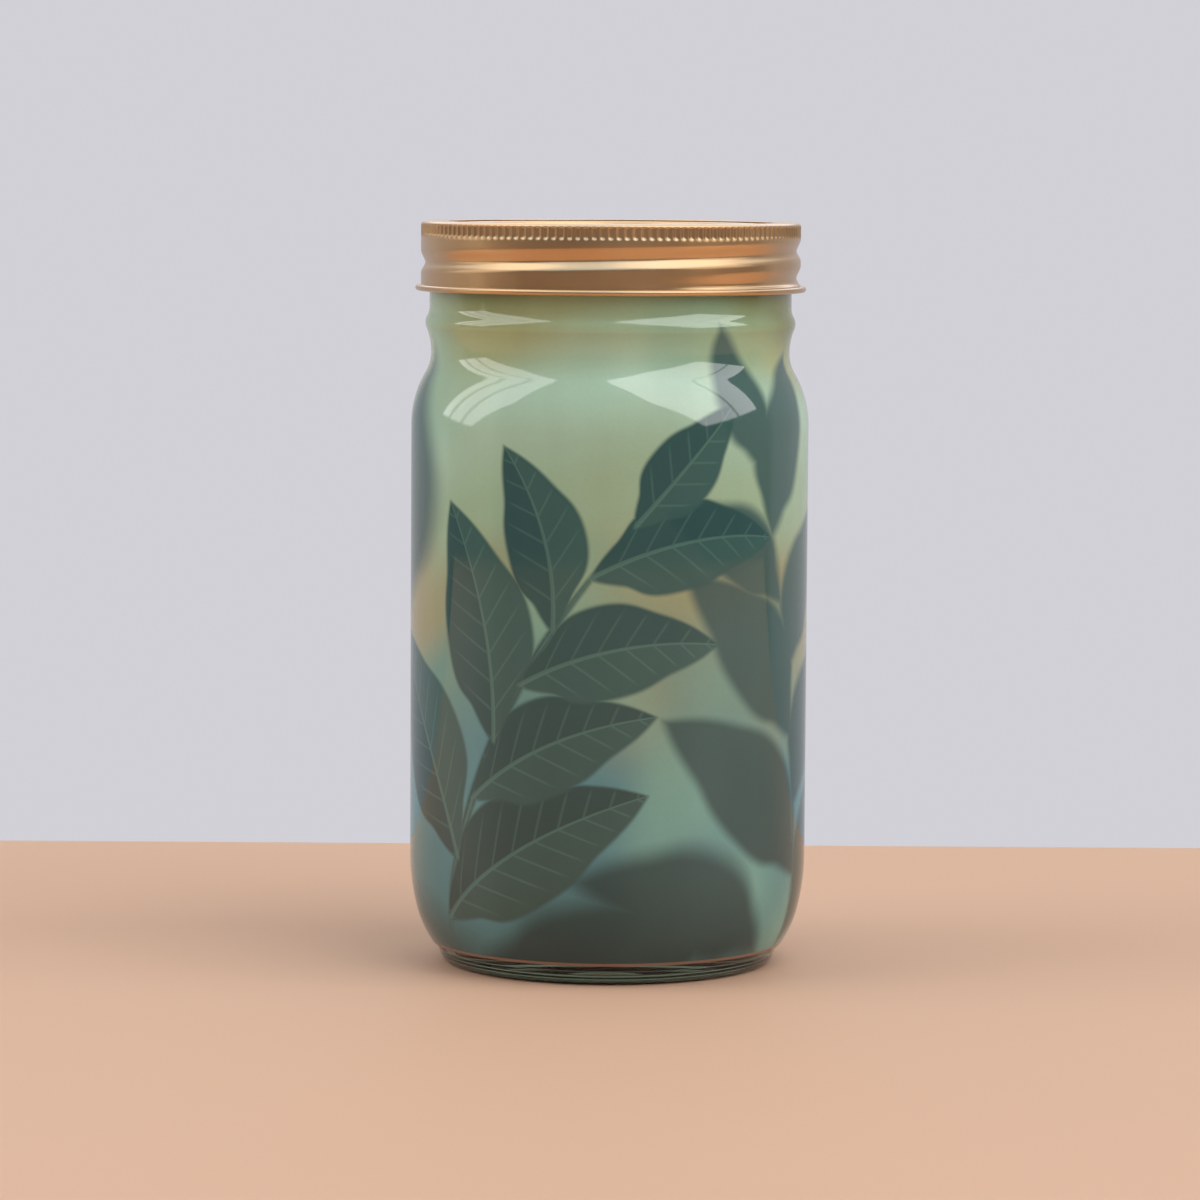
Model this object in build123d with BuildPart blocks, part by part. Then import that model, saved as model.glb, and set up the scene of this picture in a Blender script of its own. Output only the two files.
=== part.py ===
from build123d import *
from math import acos, asin, copysign, cos, degrees, radians, sin, sqrt
import os

os.makedirs("parts", exist_ok=True)

# All sizes are millimetres. The jar stands on z = 0 with its axis on Z, and its front faces -Y.

# Glass jar: body
jar_height = 173.2
body_diameter = 93.5
body_wall = 3.2
base_thickness = 5.0
push_up = 2.0
bearing_width = 6.0
foot_height = 3.6
foot_step = 0.4
foot_round = 3.3
heel_height = 26.0
heel_upper_radius = 52.0
heel_upper_angle = 14.0
heel_lower_radius = 26.0
inner_heel_round = 16.0

# Glass jar: shoulder, neck bead and finish
shoulder_round = 24.0
neck_round = 10.0
neck_sweep = 15.0
neck_draw = 0.4
bead_below_rim = 21.3
bead_projection = 0.95
bead_round = 3.0
collar_round = 4.5
finish_diameter = 85.0
finish_wall = 4.5
rim_round = 1.2

# Thread on the glass
thread_lead = 6.35
thread_turns = 1.04
thread_end_angle = 275.0
thread_end_below_rim = 2.7
thread_round = 1.8
thread_projection = 1.6

# Printed sleeve
sleeve_film = 0.2
sleeve_fit = 0.05
sleeve_above_foot = 1.35
sleeve_below_thread = 0.6

# Net pot: rim, slotted wall and base pan, spot welded together
pot_sheet = 0.5
pot_depth = 58.0
pot_base_diameter = 62.0
pot_mouth_clearance = 0.6
flange_setback = 0.4
rim_collar = 8.0
pan_edge = 6.0
pan_corner = 1.5
pot_wall_setback = 1.5
pot_slot_width = 6.0
pot_slot_length = 30.0
pot_slot_above_base = 12.0
pot_slot_count = 16
drain_hole_diameter = 4.0
drain_hole_count = 12
drain_hole_edge = 6.0

# Wick
wick_thickness = 2.4
wick_width = 14.0
wick_spacing = 18.0
wick_bend = 0.6
wick_slot_clearance = 0.6
wick_above_floor = 4.0

# Growing medium and sachets
coir_thickness = 14.0
coir_round = 1.5
coir_clearance = 1.8
sachet_seam = 0.6
sachet_margin = 4.0
sachet_slope = 5.0
sachet_corner = 2.0
carbon_width = 42.0
carbon_length = 44.0
carbon_thickness = 9.0
carbon_turn = 8.0
plant_food_width = 38.0
plant_food_length = 44.0
plant_food_thickness = 6.0
plant_food_turn = -14.0
seed_width = 34.0
seed_length = 42.0
seed_thickness = 3.0
seed_turn = 20.0

# Lid disc and seal
seal_thickness = 1.25
seal_edge = 0.6
disc_sheet = 0.3
disc_edge_clearance = 0.5
disc_panel_drop = 1.2
disc_panel_clearance = 0.9
disc_panel_draft = 0.6

# Screw band
band_sheet = 0.35
band_thread_clearance = 0.35
band_top_round = 1.1
band_lip = 5.5
groove_depth = 1.05
groove_round = 2.2
groove_turns = 1.1
groove_start_angle = 6.0
groove_flank_clearance = 0.2
curl_round = 0.7
curl_overlap = 0.1
curl_land = 0.1
flute_count = 148
flute_round = 0.75
flute_depth = 0.2
flute_length = 3.2
flute_below_top = 0.55

# Flat faces that rest on each other
rest_gap = 0.05

# Jar: values worked out from the sizes above
body_radius = body_diameter / 2
body_inner_radius = body_radius - body_wall
finish_radius = finish_diameter / 2
mouth_radius = finish_radius - finish_wall
neck_radius = finish_radius - neck_draw
bead_crest_radius = finish_radius + bead_projection
floor_height = push_up + base_thickness
heel_knuckle = radians(heel_upper_angle)
heel_centre_r = body_radius - heel_upper_radius + (heel_upper_radius - heel_lower_radius) * cos(heel_knuckle)
heel_centre_z = heel_height - (heel_upper_radius - heel_lower_radius) * sin(heel_knuckle)


def bend_turn(step, first_round, second_round):
    """Turn, in degrees, of each of two opposite arcs that together move a line sideways by step."""
    return copysign(degrees(acos(1 - abs(step) / (first_round + second_round))), step)


def bend_height(step, first_round, second_round):
    """Height of those two arcs together, on a vertical line."""
    return (first_round + second_round) * sin(radians(abs(bend_turn(step, first_round, second_round))))


def draw_bend(start, heading, step, first_round, second_round, skin=0):
    """Draws those two arcs, moved outwards by skin; a positive step goes to the left of the heading."""
    turn = bend_turn(step, first_round, second_round)
    bend_skin = copysign(skin, step)
    first = JernArc(start, heading, first_round + bend_skin, turn)
    return JernArc(first @ 1, first % 1, second_round - bend_skin, -turn)


bead_height = jar_height - bead_below_rim
neck_height = bead_height - bend_height(neck_radius - bead_crest_radius, neck_sweep, bead_round)
shoulder_height = neck_height - bend_height(body_radius - neck_radius, shoulder_round, neck_round)
inner_shoulder_round = shoulder_round - body_wall
inner_neck_round = neck_round + body_wall

# Thread: the glass bead's centre line, and the band's groove that follows below it on the same helix
thread_centre_radius = finish_radius + thread_projection - thread_round
thread_end_z = jar_height - thread_end_below_rim
thread_rise = thread_lead * thread_turns
thread_start_z = thread_end_z - thread_rise
thread_start_angle = thread_end_angle - 360 * thread_turns

band_inner_radius = finish_radius + thread_projection + band_thread_clearance
band_radius = band_inner_radius + band_sheet
groove_centre_radius = band_radius - groove_depth + groove_round
ridge_round = groove_round + band_sheet
flank_reach = thread_round + ridge_round + groove_flank_clearance
groove_below_thread = sqrt(flank_reach**2 - (groove_centre_radius - thread_centre_radius) ** 2)
groove_start_z = (
    thread_end_z - groove_below_thread + thread_lead * (groove_start_angle - thread_end_angle) / 360
)

# Stack on the rim: pot flange, seal, disc, band
flange_z = jar_height + rest_gap
seal_z = flange_z + pot_sheet + rest_gap
disc_z = seal_z + seal_thickness
band_top_z = disc_z + disc_sheet + rest_gap + band_sheet
curl_centre_radius = band_radius + curl_round - curl_overlap
curl_reach = groove_round + curl_land + curl_round
curl_centre_z = groove_start_z - sqrt(curl_reach**2 - (groove_centre_radius - curl_centre_radius) ** 2)
disc_radius = band_inner_radius - disc_edge_clearance

# Net pot and what lies in it
flange_radius = finish_radius - flange_setback
flange_top_z = flange_z + pot_sheet
pot_mouth_radius = mouth_radius - pot_mouth_clearance
pot_base_radius = pot_base_diameter / 2
pot_base_z = flange_top_z - pot_depth
pot_floor_z = pot_base_z + pot_sheet
pot_taper = (pot_mouth_radius - pot_base_radius) / (flange_z - pot_base_z)
wick_top_z = pot_floor_z + rest_gap + wick_thickness
coir_z = wick_top_z + rest_gap


def pot_side(height, inset):
    """Radius of the pot's tapered side at a height, moved inwards by inset."""
    return pot_base_radius + pot_taper * (height - pot_base_z) - inset


pot_wall_outside = pot_sheet + rest_gap
pot_wall_inside = pot_wall_outside + pot_sheet
coir_radius = pot_side(coir_z, pot_wall_inside) - coir_clearance
disc_panel_radius = pot_side(flange_top_z, pot_sheet) - disc_panel_clearance


def glass_side(skin, bottom, top):
    """Side of the glass from the heel up to the finish, moved outwards by skin."""
    lower_radius = heel_lower_radius + skin
    lean = asin((heel_centre_z - bottom) / lower_radius)
    start = (heel_centre_r + lower_radius * cos(lean), bottom)
    heel_low = JernArc(start, (sin(lean), cos(lean)), lower_radius, degrees(lean) - heel_upper_angle)
    heel_high = JernArc(heel_low @ 1, heel_low % 1, heel_upper_radius + skin, heel_upper_angle)
    side = Line(heel_high @ 1, (body_radius + skin, shoulder_height))
    neck = draw_bend(side @ 1, side % 1, body_radius - neck_radius, shoulder_round, neck_round, skin)
    bead = draw_bend(neck @ 1, neck % 1, neck_radius - bead_crest_radius, neck_sweep, bead_round, skin)
    collar = draw_bend(bead @ 1, bead % 1, bead_crest_radius - finish_radius, bead_round, collar_round, skin)
    finish = Line(collar @ 1, (finish_radius + skin, top))
    return start, finish @ 1


# Thread bead on the glass, rounded off at both ends
with BuildPart() as jar_thread:
    with BuildLine() as thread_path:
        Helix(thread_lead, thread_rise, thread_centre_radius, center=(0, 0, thread_start_z))
    with BuildSketch(Plane(thread_path.line @ 0, x_dir=(1, 0, 0), z_dir=thread_path.line % 0)):
        Circle(thread_round)
    sweep(is_frenet=True)
    with Locations(thread_path.line @ 0, thread_path.line @ 1):
        Sphere(thread_round)

# Glass jar: foot, heel, straight body, shoulder, neck bead, finish and hollow inside
with BuildPart() as glass_jar:
    with BuildSketch(Plane.XZ):
        with BuildLine():
            heel_start, finish_end = glass_side(0, foot_height, jar_height - rim_round)
            foot_radius = heel_start[0] - foot_step
            bearing_radius = foot_radius - foot_round
            Line(heel_start, (foot_radius, foot_height))
            foot_wall = Line((foot_radius, foot_height), (foot_radius, foot_round))
            foot_curve = JernArc(foot_wall @ 1, foot_wall % 1, foot_round, -90)
            bearing = Line(foot_curve @ 1, (bearing_radius - bearing_width, 0))
            underside = Line(bearing @ 1, (0, push_up))
            rim_outer = JernArc(finish_end, (0, 1), rim_round, 90)
            rim = Line(rim_outer @ 1, (mouth_radius + rim_round, jar_height))
            rim_inner = JernArc(rim @ 1, rim % 1, rim_round, 90)
            mouth = Line(rim_inner @ 1, (mouth_radius, neck_height))
            inner_step = body_inner_radius - mouth_radius
            inner_bend = draw_bend(mouth @ 1, mouth % 1, inner_step, inner_neck_round, inner_shoulder_round)
            inner_side = Line(inner_bend @ 1, (body_inner_radius, floor_height + inner_heel_round))
            inner_heel = JernArc(inner_side @ 1, inner_side % 1, inner_heel_round, -90)
            floor = Line(inner_heel @ 1, (0, floor_height))
            Line(floor @ 1, underside @ 1)
        make_face()
    revolve(axis=Axis.Z)
    add(jar_thread.part, rotation=(0, 0, thread_start_angle))
glass_jar.part.label = "glass_jar"
export_step(glass_jar.part, "parts/glass_jar.step")

# Printed sleeve: thin film that follows the glass from just above the foot to just below the thread
with BuildPart() as printed_sleeve:
    sleeve_bottom = foot_height + sleeve_above_foot
    sleeve_top = thread_start_z - thread_round - sleeve_below_thread
    with BuildSketch(Plane.XZ):
        with BuildLine():
            inner_start, inner_end = glass_side(sleeve_fit, sleeve_bottom, sleeve_top)
            outer_start, outer_end = glass_side(sleeve_fit + sleeve_film, sleeve_bottom, sleeve_top)
            Line(inner_start, outer_start)
            Line(inner_end, outer_end)
        make_face()
    revolve(axis=Axis.Z)
printed_sleeve.part.label = "printed_sleeve"
export_step(printed_sleeve.part, "parts/printed_sleeve.step")

# Pot rim: flange that hangs on the jar's rim, with a tapered collar for the wall
with BuildPart() as pot_rim:
    collar_z = flange_top_z - rim_collar
    with BuildSketch(Plane.XZ):
        with BuildLine():
            Polyline(
                (pot_side(collar_z, 0), collar_z),
                (pot_side(flange_z, 0), flange_z),
                (flange_radius, flange_z),
                (flange_radius, flange_top_z),
                (pot_side(flange_top_z, pot_sheet), flange_top_z),
                (pot_side(collar_z, pot_sheet), collar_z),
                close=True,
            )
        make_face()
    revolve(axis=Axis.Z)
pot_rim.part.label = "pot_rim"
export_step(pot_rim.part, "parts/pot_rim.step")

# Pot base: shallow pan under the wall, with drain holes and slots for the wick
with BuildPart() as pot_base:
    edge_z = pot_base_z + pan_edge
    with BuildSketch(Plane.XZ) as pan_section:
        outside_corner = (pot_base_radius, pot_base_z)
        inside_corner = (pot_side(pot_floor_z, pot_sheet), pot_floor_z)
        with BuildLine():
            Polyline(
                (0, pot_base_z),
                outside_corner,
                (pot_side(edge_z, 0), edge_z),
                (pot_side(edge_z, pot_sheet), edge_z),
                inside_corner,
                (0, pot_floor_z),
                close=True,
            )
        make_face()
        fillet(pan_section.vertices().sort_by_distance((*outside_corner, 0))[0], pan_corner)
        fillet(pan_section.vertices().sort_by_distance((*inside_corner, 0))[0], pan_corner - pot_sheet)
    revolve(axis=Axis.Z)
    with BuildSketch(Plane.XY.offset(pot_base_z)):
        with PolarLocations(pot_base_radius - drain_hole_edge, drain_hole_count):
            Circle(drain_hole_diameter / 2)
        with GridLocations(wick_spacing, 0, 2, 1):
            Rectangle(wick_thickness + 2 * wick_slot_clearance, wick_width + 2 * wick_slot_clearance)
    extrude(amount=pot_sheet, mode=Mode.SUBTRACT)
pot_base.part.label = "pot_base"
export_step(pot_base.part, "parts/pot_base.step")

# Pot wall: tapered sleeve held between the rim's collar and the pan's edge, slotted all round
with BuildPart() as pot_wall:
    wall_bottom_z = pot_floor_z + pan_corner - pot_sheet + rest_gap
    wall_top_z = flange_top_z - pot_wall_setback
    with BuildSketch(Plane.XZ):
        with BuildLine():
            Polyline(
                (pot_side(wall_bottom_z, pot_wall_outside), wall_bottom_z),
                (pot_side(wall_top_z, pot_wall_outside), wall_top_z),
                (pot_side(wall_top_z, pot_wall_inside), wall_top_z),
                (pot_side(wall_bottom_z, pot_wall_inside), wall_bottom_z),
                close=True,
            )
        make_face()
    revolve(axis=Axis.Z)
    slot_z = pot_base_z + pot_slot_above_base + pot_slot_length / 2
    for slot in range(pot_slot_count):
        heading = radians(360 / pot_slot_count * slot)
        outwards = (cos(heading), sin(heading), 0)
        with BuildSketch(Plane((0, 0, slot_z), x_dir=(0, 0, 1), z_dir=outwards)):
            SlotOverall(pot_slot_length, pot_slot_width)
        extrude(amount=pot_mouth_radius, mode=Mode.SUBTRACT)
pot_wall.part.label = "pot_wall"
export_step(pot_wall.part, "parts/pot_wall.step")

# Wick: flat felt strip bent over the pot's floor, with both tails hanging into the reservoir
with BuildPart() as wick:
    tail_z = floor_height + wick_above_floor
    with BuildSketch(Plane.XZ):
        with BuildLine():
            FilletPolyline(
                (-(wick_spacing + wick_thickness) / 2, tail_z),
                (-(wick_spacing + wick_thickness) / 2, wick_top_z),
                ((wick_spacing + wick_thickness) / 2, wick_top_z),
                ((wick_spacing + wick_thickness) / 2, tail_z),
                radius=wick_bend + wick_thickness,
            )
            FilletPolyline(
                (-(wick_spacing - wick_thickness) / 2, tail_z),
                (-(wick_spacing - wick_thickness) / 2, wick_top_z - wick_thickness),
                ((wick_spacing - wick_thickness) / 2, wick_top_z - wick_thickness),
                ((wick_spacing - wick_thickness) / 2, tail_z),
                radius=wick_bend,
            )
            for side in (-1, 1):
                Line(
                    (side * (wick_spacing - wick_thickness) / 2, tail_z),
                    (side * (wick_spacing + wick_thickness) / 2, tail_z),
                )
        make_face()
    extrude(amount=wick_width / 2, both=True)
wick.part.label = "wick"
export_step(wick.part, "parts/wick.step")

# Coir disc: pressed growing medium that lies on the wick
with BuildPart() as coir_disc:
    with BuildSketch(Plane.XY.offset(coir_z)):
        Circle(coir_radius)
    extrude(amount=coir_thickness)
    fillet(coir_disc.edges().filter_by(GeomType.CIRCLE), coir_round)
coir_disc.part.label = "coir_disc"
export_step(coir_disc.part, "parts/coir_disc.step")

# Sachets: flat packets with a filled middle and a seam all round, stacked on the coir disc
stack_z = coir_z + coir_thickness + rest_gap
for node, width, length, thickness, turn in (
    ("carbon_sachet", carbon_width, carbon_length, carbon_thickness, carbon_turn),
    ("plant_food_sachet", plant_food_width, plant_food_length, plant_food_thickness, plant_food_turn),
    ("seed_sachet", seed_width, seed_length, seed_thickness, seed_turn),
):
    with BuildPart() as sachet:
        seam_plane = Plane.XY.offset(stack_z + thickness / 2).rotated((0, 0, turn))
        fill_width = width - 2 * sachet_margin
        fill_length = length - 2 * sachet_margin
        with BuildSketch(seam_plane):
            RectangleRounded(width, length, sachet_corner)
        extrude(amount=sachet_seam / 2, both=True)
        for side in (-1, 1):
            with BuildSketch(seam_plane):
                RectangleRounded(fill_width, fill_length, sachet_corner)
            with BuildSketch(seam_plane.offset(side * thickness / 2)):
                RectangleRounded(fill_width - 2 * sachet_slope, fill_length - 2 * sachet_slope, sachet_corner)
            loft()
    sachet.part.label = node
    export_step(sachet.part, f"parts/{node}.step")
    stack_z += thickness + rest_gap

# Lid seal: flat ring between the pot's flange and the disc
with BuildPart() as lid_seal:
    with BuildSketch(Plane.XY.offset(seal_z)):
        Circle(finish_radius - seal_edge)
        Circle(mouth_radius + seal_edge, mode=Mode.SUBTRACT)
    extrude(amount=seal_thickness)
lid_seal.part.label = "lid_seal"
export_step(lid_seal.part, "parts/lid_seal.step")

# Lid disc: pressed sheet with a flat rim over the seal and a panel that drops into the mouth
with BuildPart() as lid_disc:
    panel_z = disc_z - disc_panel_drop
    step_radius = disc_panel_radius + disc_panel_draft
    with BuildSketch(Plane.XZ):
        with BuildLine():
            Polyline(
                (0, panel_z),
                (disc_panel_radius, panel_z),
                (step_radius, disc_z),
                (disc_radius, disc_z),
                (disc_radius, disc_z + disc_sheet),
                (step_radius - disc_sheet, disc_z + disc_sheet),
                (disc_panel_radius - disc_sheet, panel_z + disc_sheet),
                (0, panel_z + disc_sheet),
                close=True,
            )
        make_face()
    revolve(axis=Axis.Z)
lid_disc.part.label = "lid_disc"
export_step(lid_disc.part, "parts/lid_disc.step")

# Hollow of the screw band: a plain core with the rolled thread's ridge left out of it
with BuildPart() as band_core:
    core_bottom = curl_centre_z - 2 * curl_round
    with BuildSketch(Plane.XY.offset(core_bottom)):
        Circle(band_inner_radius)
    extrude(amount=band_top_z - band_sheet - core_bottom)
    fillet(band_core.edges().group_by(Axis.Z)[-1], band_top_round - band_sheet)
    with BuildLine() as ridge_path:
        Helix(thread_lead, thread_lead * groove_turns, groove_centre_radius, center=(0, 0, groove_start_z))
    with BuildSketch(Plane(ridge_path.line @ 0, x_dir=(1, 0, 0), z_dir=ridge_path.line % 0)):
        Circle(ridge_round)
    sweep(is_frenet=True, mode=Mode.SUBTRACT)
    with Locations(ridge_path.line @ 0, ridge_path.line @ 1):
        Sphere(ridge_round, mode=Mode.SUBTRACT)

# Screw band: open sheet ring with a lip over the disc, a rolled thread, a fluted edge and a curled foot
with BuildPart() as screw_band:
    with BuildSketch(Plane.XZ):
        with BuildLine():
            skirt = Line((band_radius, curl_centre_z), (band_radius, band_top_z - band_top_round))
            top_corner = JernArc(skirt @ 1, skirt % 1, band_top_round, 90)
            lip = Line(top_corner @ 1, (disc_radius - band_lip, band_top_z))
            lip_edge = Line(lip @ 1, (disc_radius - band_lip, curl_centre_z))
            Line(lip_edge @ 1, skirt @ 0)
        make_face()
        with Locations((curl_centre_radius, curl_centre_z)):
            Circle(curl_round)
    revolve(axis=Axis.Z)
    add(band_core.part, mode=Mode.SUBTRACT)
    with BuildLine() as groove_path:
        Helix(thread_lead, thread_lead * groove_turns, groove_centre_radius, center=(0, 0, groove_start_z))
    with BuildSketch(Plane(groove_path.line @ 0, x_dir=(1, 0, 0), z_dir=groove_path.line % 0)):
        Circle(groove_round)
    sweep(is_frenet=True, mode=Mode.SUBTRACT)
    with Locations(groove_path.line @ 0, groove_path.line @ 1):
        Sphere(groove_round, mode=Mode.SUBTRACT)
    with Locations((0, 0, band_top_z - flute_below_top - flute_length / 2)):
        with PolarLocations(band_radius - flute_depth + flute_round, flute_count):
            Cylinder(flute_round, flute_length, mode=Mode.SUBTRACT)
band_placed = screw_band.part.rotate(Axis.Z, groove_start_angle)
band_placed.label = "screw_band"
export_step(band_placed, "parts/screw_band.step")
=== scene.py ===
import bpy
import bmesh
from math import acos, asin, atan2, copysign, cos, degrees, pi, radians, sin, sqrt
from mathutils import Matrix, Vector, noise


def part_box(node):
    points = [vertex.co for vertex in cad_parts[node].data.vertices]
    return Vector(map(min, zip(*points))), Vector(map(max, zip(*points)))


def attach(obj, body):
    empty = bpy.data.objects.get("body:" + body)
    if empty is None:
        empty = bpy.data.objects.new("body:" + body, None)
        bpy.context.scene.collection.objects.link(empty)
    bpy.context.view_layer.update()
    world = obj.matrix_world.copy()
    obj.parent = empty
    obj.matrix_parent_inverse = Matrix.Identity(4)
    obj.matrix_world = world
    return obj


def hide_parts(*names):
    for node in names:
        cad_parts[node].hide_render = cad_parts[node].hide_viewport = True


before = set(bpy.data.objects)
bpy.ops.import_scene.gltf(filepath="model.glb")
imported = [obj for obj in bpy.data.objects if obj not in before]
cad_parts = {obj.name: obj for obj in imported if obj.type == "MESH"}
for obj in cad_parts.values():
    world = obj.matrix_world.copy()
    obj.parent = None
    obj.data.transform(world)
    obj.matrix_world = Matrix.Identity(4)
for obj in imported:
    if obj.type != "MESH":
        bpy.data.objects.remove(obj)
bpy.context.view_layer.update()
mm = 0.001
weld = 0.001 * mm                            # points closer than this become one
laps = (-360, 0, 360)                        # a thread is looked for on this turn and on both beside it
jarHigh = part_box("glass_jar")[1]
bandLow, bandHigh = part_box("screw_band")
print("frame loaded:", len(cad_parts), "nodes")


# drawing and piece helpers

def vertsOf(geometry):
    return [part for part in geometry if isinstance(part, bmesh.types.BMVert)]


class Pen:                                   # draws a section in the XZ plane, sizes in millimetres
    def __init__(self, bm, r, z, heading=0):
        self.bm = bm
        self.tip = bmesh.ops.create_vert(bm, co=(r * mm, 0, z * mm))["vert"][0]
        self.first = self.tip
        self.heading = radians(heading)

    def lineTo(self, r, z, steps=1):
        start = self.tip.co.copy()
        end = Vector((r * mm, 0, z * mm))
        for step in range(steps):
            grown = bmesh.ops.extrude_vert_indiv(self.bm, verts=[self.tip])["verts"][0]
            stride = start.lerp(end, (step + 1) / steps) - start.lerp(end, step / steps)
            bmesh.ops.translate(self.bm, verts=[grown], vec=stride)
            self.tip = grown
        self.heading = atan2(end.z - start.z, end.x - start.x)

    def arc(self, radius, turn, steps):      # a positive turn goes to the left
        side = Vector((-sin(self.heading), 0, cos(self.heading)))
        centre = self.tip.co + side * copysign(radius * mm, turn)
        swept = bmesh.ops.spin(self.bm, geom=[self.tip], cent=centre, axis=(0, -1, 0),
                               angle=radians(turn), steps=steps)
        self.tip = vertsOf(swept["geom_last"])[0]
        self.heading += radians(turn)

    def forward(self, length):
        r = self.tip.co.x / mm + length * cos(self.heading)
        z = self.tip.co.z / mm + length * sin(self.heading)
        self.lineTo(r, z)

    def joinTo(self, other):
        bmesh.ops.contextual_create(self.bm, geom=[self.tip, other])


def spinRound(bm, steps, doublings=3):       # one sector is spun, then doubled until it closes
    sectors = 2 ** doublings
    bmesh.ops.spin(bm, geom=bm.verts[:] + bm.edges[:], cent=(0, 0, 0), axis=(0, 0, 1),
                   angle=2 * pi / sectors, steps=steps // sectors)
    for doubling in range(doublings):
        copied = bmesh.ops.duplicate(bm, geom=bm.verts[:] + bm.edges[:] + bm.faces[:])["geom"]
        turn = Matrix.Rotation(2 * pi / sectors * 2 ** doubling, 3, "Z")
        bmesh.ops.rotate(bm, verts=vertsOf(copied), cent=(0, 0, 0), matrix=turn)
    bmesh.ops.remove_doubles(bm, verts=bm.verts[:], dist=weld)
    bmesh.ops.recalc_face_normals(bm, faces=bm.faces[:])


def makePiece(name, bm, material, body, nodes, sharp=38):
    for face in bm.faces:
        face.smooth = True
    mesh = bpy.data.meshes.new(name)
    bm.to_mesh(mesh)
    bm.free()
    mesh.set_sharp_from_angle(angle=radians(sharp))
    mesh.materials.append(material)
    piece = bpy.data.objects.new(name, mesh)
    bpy.context.collection.objects.link(piece)
    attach(piece, body)
    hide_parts(*nodes)
    print("piece", name, len(mesh.polygons), "faces")
    return piece


def smoothStep(low, high, value):
    t = min(max((value - low) / (high - low), 0), 1)
    return t * t * (3 - 2 * t)


# material helpers

def tint(red, green, blue):                  # 0 to 255 screen values to linear
    def linear(level):
        level /= 255
        return level / 12.92 if level <= 0.04045 else ((level + 0.055) / 1.055) ** 2.4
    return (linear(red), linear(green), linear(blue), 1)


def fillInputs(tree, target, inputs):        # a socket is linked, any other value is set
    for key, value in inputs.items():
        if isinstance(value, bpy.types.NodeSocket):
            tree.links.new(value, target.inputs[key])
        else:
            target.inputs[key].default_value = value


def feed(tree, target, **inputs):            # socket names with _ for a space
    fillInputs(tree, target, {name.replace("_", " "): value for name, value in inputs.items()})


def addNode(tree, kind, inputs=None, **settings):
    made = tree.nodes.new(kind)
    for name, value in settings.items():
        setattr(made, name, value)
    fillInputs(tree, made, inputs or {})
    return made


def addMath(tree, operation, *values, clamp=False):
    made = addNode(tree, "ShaderNodeMath", dict(enumerate(values)), operation=operation, use_clamp=clamp)
    return made.outputs[0]


def addMix(tree, factor, first, second):     # colours
    return addNode(tree, "ShaderNodeMix", {0: factor, 6: first, 7: second}, data_type="RGBA").outputs[2]


def addBlend(tree, factor, first, second):   # single values
    return addNode(tree, "ShaderNodeMix", {0: factor, 2: first, 3: second}, data_type="FLOAT").outputs[0]


def addNoise(tree, place, scale, detail=2.0, roughness=0.5, stretch=None):
    if stretch:
        place = addNode(tree, "ShaderNodeMapping", {"Vector": place, "Scale": stretch}).outputs[0]
    made = addNode(tree, "ShaderNodeTexNoise",
                   {"Vector": place, "Scale": scale, "Detail": detail, "Roughness": roughness})
    return made.outputs["Fac"]


def addRamp(tree, factor, stops, smooth=False):
    made = addNode(tree, "ShaderNodeValToRGB", {0: factor})
    ramp = made.color_ramp
    if smooth:
        ramp.interpolation = "EASE"
    while len(ramp.elements) < len(stops):
        ramp.elements.new(1.0)
    for element, (place, colour) in zip(ramp.elements, stops):
        element.position = place
        element.color = colour
    return made.outputs[0]


def addRange(tree, value, low, high, toLow, toHigh, kind="LINEAR"):
    return addNode(tree, "ShaderNodeMapRange", {"Value": value, "From Min": low, "From Max": high,
                   "To Min": toLow, "To Max": toHigh}, interpolation_type=kind).outputs[0]


def addEase(tree, value, low, high, toLow=0.0, toHigh=1.0):
    return addRange(tree, value, low, high, toLow, toHigh, "SMOOTHSTEP")


noiseSpan = (0.3, 0.7)                       # where most of a noise's values lie


def addSpread(tree, value, toLow, toHigh):
    return addRange(tree, value, *noiseSpan, toLow, toHigh)


def addBump(tree, height, strength, distance):
    made = addNode(tree, "ShaderNodeBump", {"Height": height, "Strength": strength, "Distance": distance})
    return made.outputs[0]


def newMaterial(name):
    material = bpy.data.materials.new(name)
    material.use_nodes = True
    tree = material.node_tree
    place = addNode(tree, "ShaderNodeTexCoord").outputs["Object"]
    return material, tree, tree.nodes["Principled BSDF"], place


# glass jar: same section as the solid, with rows close enough for the thread

glassJar = {
    "bodyRadius": jarHigh.x / mm, "rimZ": jarHigh.z / mm, "wall": 3.2, "pushUp": 2.0, "baseThickness": 5.0,
    "bearingWidth": 6.0, "footHeight": 3.6, "footStep": 0.4, "footRound": 3.3,
    "edgeOut": 0.05, "edgeDrop": 0.1, "edgeIn": 0.1, "edgeLow": 0.02,    # eases the step above the foot
    "heelHeight": 26.0, "heelUpper": 52.0, "heelAngle": 14.0, "heelLower": 26.0, "innerHeel": 16.0,
    "shoulderRound": 24.0, "neckRound": 10.0, "neckSweep": 15.0, "neckDraw": 0.4,
    "beadBelowRim": 21.3, "beadProjection": 0.95, "beadRound": 3.0, "collarRound": 4.5,
    "finishRadius": 42.5, "finishWall": 4.5, "rimRound": 1.2,
    "threadLead": 6.35, "threadTurns": 1.04, "threadEnd": 275.0, "threadBelowRim": 2.7,
    "threadHeight": 1.55, "threadHalf": 2.0, "finishHeight": 14.0, "finishSlack": 0.2, "roundSteps": 224,
}
bodyR, rimZ, finishR = glassJar["bodyRadius"], glassJar["rimZ"], glassJar["finishRadius"]
neckR = finishR - glassJar["neckDraw"]
beadR = finishR + glassJar["beadProjection"]
mouthR = finishR - glassJar["finishWall"]
bodyInnerR = bodyR - glassJar["wall"]


def bendTurn(step, first, second):
    return copysign(degrees(acos(1 - abs(step) / (first + second))), step)


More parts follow.
